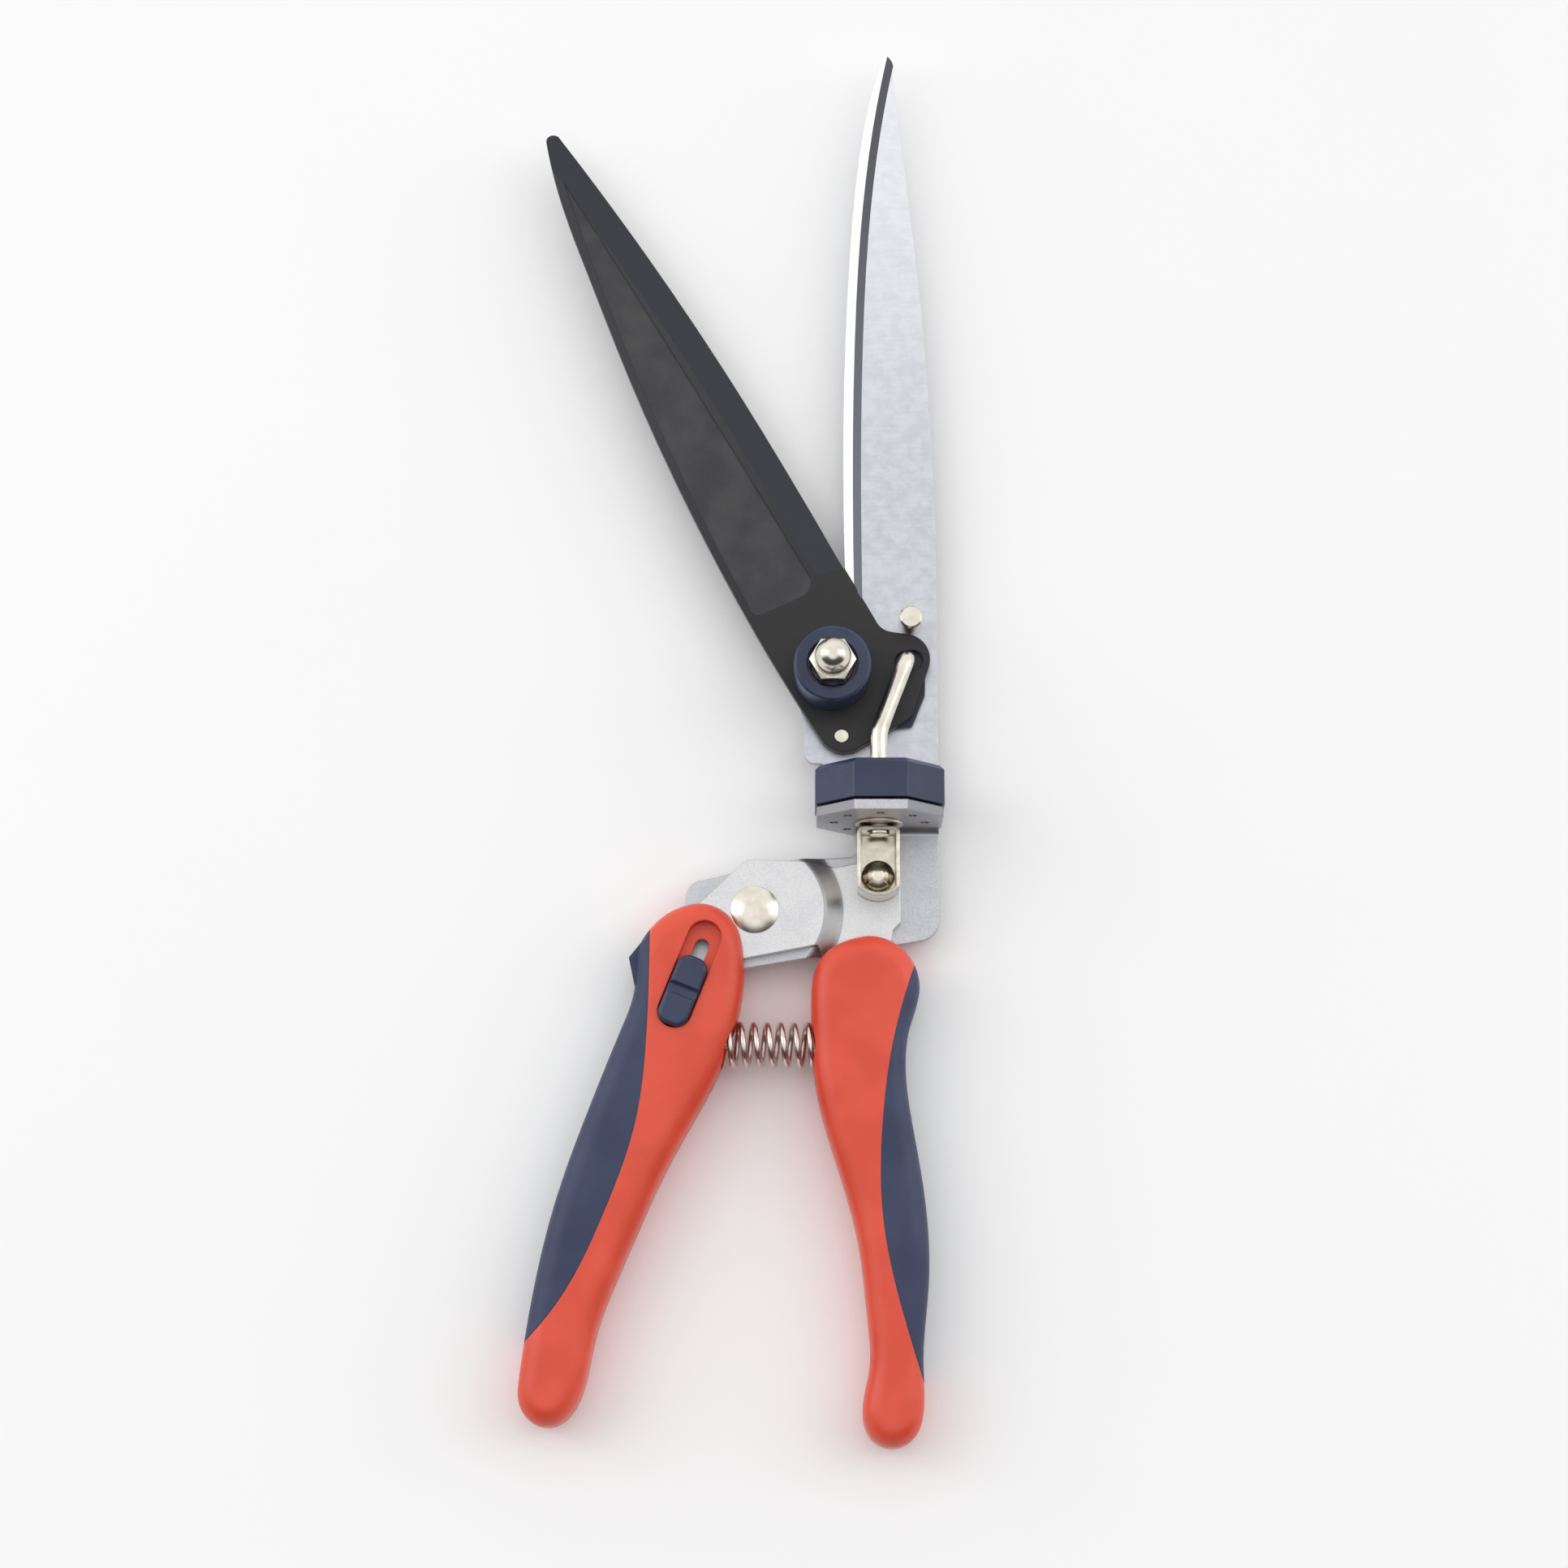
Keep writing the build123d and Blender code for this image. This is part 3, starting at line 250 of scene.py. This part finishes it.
def black_blade(name):
    """Matt black non-stick coating: dark ground bevel, lighter pressed panel, darkest round the pivot."""
    f = Finish(name)
    bevel = f.sloping(0.4, 0.995)
    panel = f.remap(f.axis("Z"), BLADE_TOP - PANEL_EDGE[1], BLADE_TOP - PANEL_EDGE[0], 1, 0)
    along = f.remap(f.axis("Y"), 36 * MM, 100 * MM)
    speckle = f.noise(0.4, detail=5)
    cloud = f.noise(9)
    flat = f.mix(along, under_gloss(54, 54, 60), under_gloss(70, 70, 73))
    pressed = f.mix(f.remap(cloud, 0.3, 0.7), under_gloss(70, 69, 73), under_gloss(82, 82, 83))
    tone = f.mix(bevel, f.mix(panel, flat, pressed), under_gloss(62, 63, 68))
    f.colour(f.mix(f.remap(speckle, 0.6, 0.75, 0, 0.2), tone, under_gloss(92, 92, 95)))
    f.roughness(f.remap(cloud, 0.3, 0.7, 0.38, 0.48))
    f.surface(0.6, speckle, 0.03, 0.5)
    return f.material


wire_nickel = bright_nickel("wire_nickel", linear(222, 214, 208), linear(206, 197, 190), 0.16)
SLOT_FINISH = {
    "orange_plastic": moulded("orange_plastic", under_gloss(232, 97, 79), under_gloss(222, 90, 73),
                              roughness=0.36, texture_mm=0.5, edges_mm=0.5),
    "navy_grip": moulded("navy_grip", under_gloss(75, 81, 105), under_gloss(68, 74, 97),
                         roughness=0.5, texture_mm=0.35, edges_mm=0.5),
    "navy_plastic": moulded("navy_plastic", under_gloss(72, 78, 99), under_gloss(65, 71, 91),
                            roughness=0.3, texture_mm=0.45, edges_mm=0.4),
    "nylon": moulded("nylon", under_gloss(62, 64, 78), under_gloss(56, 58, 72),
                     roughness=0.4, texture_mm=0.4, edges_mm=0.2),
    "nickel": bright_nickel("nickel", linear(228, 222, 209), linear(216, 209, 196), 0.16),
    "blasted_steel": blasted_steel("blasted_steel", linear(222, 222, 223), linear(204, 204, 206)),
    "blade_steel": ground_blade("blade_steel"),
    "black_coating": black_blade("black_coating"),
}
# Pieces that look different from the rest of their slot
OWN_FINISH = {
    # Painted shade: the frame plate is a darker copy of the blasted steel, for the shade it lies in under the
    # moving plate.
    "frame_plate": blasted_steel("blasted_steel_back_painted_shade", linear(202, 203, 208), linear(182, 183, 188)),
    "swivel_eyelet": bright_nickel("warm_nickel", linear(224, 208, 194), linear(208, 190, 176), 0.14),
    # Painted shadow: the washer under the nut is dark steel to stand for the shadow beneath the nut.
    "nut_washer": blasted_steel("washer_painted_shadow", linear(96, 94, 92), linear(72, 70, 70)),
    # Painted shade: the yoke's nickel is a darker, warmer copy of the plain nickel.
    "yoke": bright_nickel("yoke_nickel_painted_shade", linear(214, 207, 194), linear(198, 191, 178), 0.16, edges_mm=0.9),
}
for part in frame["record"]["subparts"]:
    node = nodes[part["node"]]
    node.data.materials.clear()
    node.data.materials.append(OWN_FINISH.get(part["node"], SLOT_FINISH[part["material_slot"]]))


# ---------------------------------------------------------------- return spring
SPRING_TURNS = 7
CLOSED_TURN = 0.5        # part of a turn that is closed up at each end
CLOSED_RISE = 0.06       # share of the length that it takes
STEPS_PER_TURN = 40
WIRE_RADIUS = 0.7 * MM
WIRE_SIDES = 14


def coil_point(share, left, right, radius, centre):
    """The point at share, from 0 to 1, of a coil along X round centre, with closed ends."""
    closed = CLOSED_TURN / SPRING_TURNS
    first_end = min(share / closed, 1)
    middle = min(max((share - closed) / (1 - 2 * closed), 0), 1)
    last_end = min(max((share - 1 + closed) / closed, 0), 1)
    along = CLOSED_RISE * (first_end + last_end) + (1 - 2 * CLOSED_RISE) * middle
    angle = 2 * pi * SPRING_TURNS * share - pi / 2
    return Vector((left + (right - left) * along,
                   centre.y + radius * cos(angle),
                   centre.z + radius * sin(angle)))


def tube(name, points, radius):
    """A closed round tube along points, with flat ends."""
    mesh = bmesh.new()
    rings = []
    side = Vector((1, 0, 0))
    last = len(points) - 1
    for i, point in enumerate(points):
        ahead = (points[min(i + 1, last)] - points[max(i - 1, 0)]).normalized()
        side = (side - ahead * side.dot(ahead)).normalized()
        up = ahead.cross(side)
        angles = (2 * pi * k / WIRE_SIDES for k in range(WIRE_SIDES))
        rings.append([mesh.verts.new(point + radius * (cos(a) * side + sin(a) * up)) for a in angles])
    for first, second in zip(rings, rings[1:]):
        for k in range(WIRE_SIDES):
            beside = (k + 1) % WIRE_SIDES
            mesh.faces.new((first[k], first[beside], second[beside], second[k]))
    mesh.faces.new(reversed(rings[0]))
    mesh.faces.new(rings[-1])
    bmesh.ops.recalc_face_normals(mesh, faces=mesh.faces)
    data = bpy.data.meshes.new(name)
    mesh.to_mesh(data)
    mesh.free()
    data.shade_smooth()
    made = bpy.data.objects.new(name, data)
    bpy.context.scene.collection.objects.link(made)
    return made


low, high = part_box("return_spring")
centre = (low + high) / 2
coil_radius = (high.y - low.y) / 2 - WIRE_RADIUS
steps = SPRING_TURNS * STEPS_PER_TURN
coil = [coil_point(i / steps, low.x + WIRE_RADIUS, high.x - WIRE_RADIUS, coil_radius, centre)
        for i in range(steps + 1)]
spring = tube("return_spring_coil", coil, WIRE_RADIUS)
spring.data.materials.append(wire_nickel)
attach(spring, "fixed_handle")
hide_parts("return_spring")
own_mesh(spring)


# ---------------------------------------------------------------- floor
FLOOR_SIZE = 20
FLOOR_GAP = 0.05 * MM


def floor_material():
    """Matt and nearly white, with a shade that hardly changes."""
    f = Finish("floor")
    f.colour(f.mix(f.noise(60), (0.97, 0.97, 0.97, 1), (0.98, 0.98, 0.98, 1)))
    f.shader.inputs["Roughness"].default_value = 0.9
    return f.material


bpy.ops.mesh.primitive_plane_add(size=FLOOR_SIZE, location=(0, 0, -FLOOR_GAP))
floor = bpy.context.object
floor.name = "floor"
floor.data.materials.append(floor_material())

# ---------------------------------------------------------------- light
TARGET = Vector((-0.02327, 0.003262, 0.0085))     # the point that the camera and the lights aim at


def softbox(name, place, size, power):
    """A rectangular light at place that shines on the target."""
    light = bpy.data.lights.new(name, "AREA")
    light.shape = "RECTANGLE"
    light.size, light.size_y = size
    light.energy = power
    made = bpy.data.objects.new(name, light)
    made.location = place
    made.rotation_euler = (TARGET - Vector(place)).to_track_quat("-Z", "Y").to_euler()
    bpy.context.scene.collection.objects.link(made)


softbox("left_softbox", (-1.1, 0.3, 0.75), (0.6, 1.2), 3.0)
softbox("right_softbox", (1.1, 0.3, 0.75), (0.6, 1.2), 2.2)


def studio_world():
    """An even white tent that is open, and so darker, on the side of the handles' ends."""
    world = bpy.data.worlds.new("studio")
    world.use_nodes = True
    n = Nodes(world.node_tree)
    direction = n.split(n.node("ShaderNodeTexCoord").outputs["Generated"])
    above_horizon = n.remap(direction["Z"], 0.02, 0.15)
    below_top = n.remap(direction["Z"], 0.9, 0.72)
    on_open_side = n.remap(direction["Y"], -0.1, -0.4)
    opening = n.math("MULTIPLY", n.math("MULTIPLY", above_horizon, below_top), on_open_side)
    background = n.tree.nodes["Background"].inputs
    n.link(n.mix(opening, (1, 1, 1, 1), (0.06, 0.06, 0.065, 1)), background["Color"])
    background["Strength"].default_value = 1.1
    return world


bpy.context.scene.world = studio_world()
bpy.context.scene.view_settings.view_transform = "Standard"

# ---------------------------------------------------------------- camera
TILT = radians(12.8)         # from straight down, towards the ends of the handles
DISTANCE = 0.9
camera_data = bpy.data.cameras.new("camera")
camera_data.sensor_width = 36
camera_data.lens = 83.85
camera_data.dof.use_dof = False
camera = bpy.data.objects.new("camera", camera_data)
camera.location = TARGET + DISTANCE * Vector((0, -sin(TILT), cos(TILT)))
camera.rotation_euler = (TILT, 0, 0)
bpy.context.scene.collection.objects.link(camera)
bpy.context.scene.camera = camera
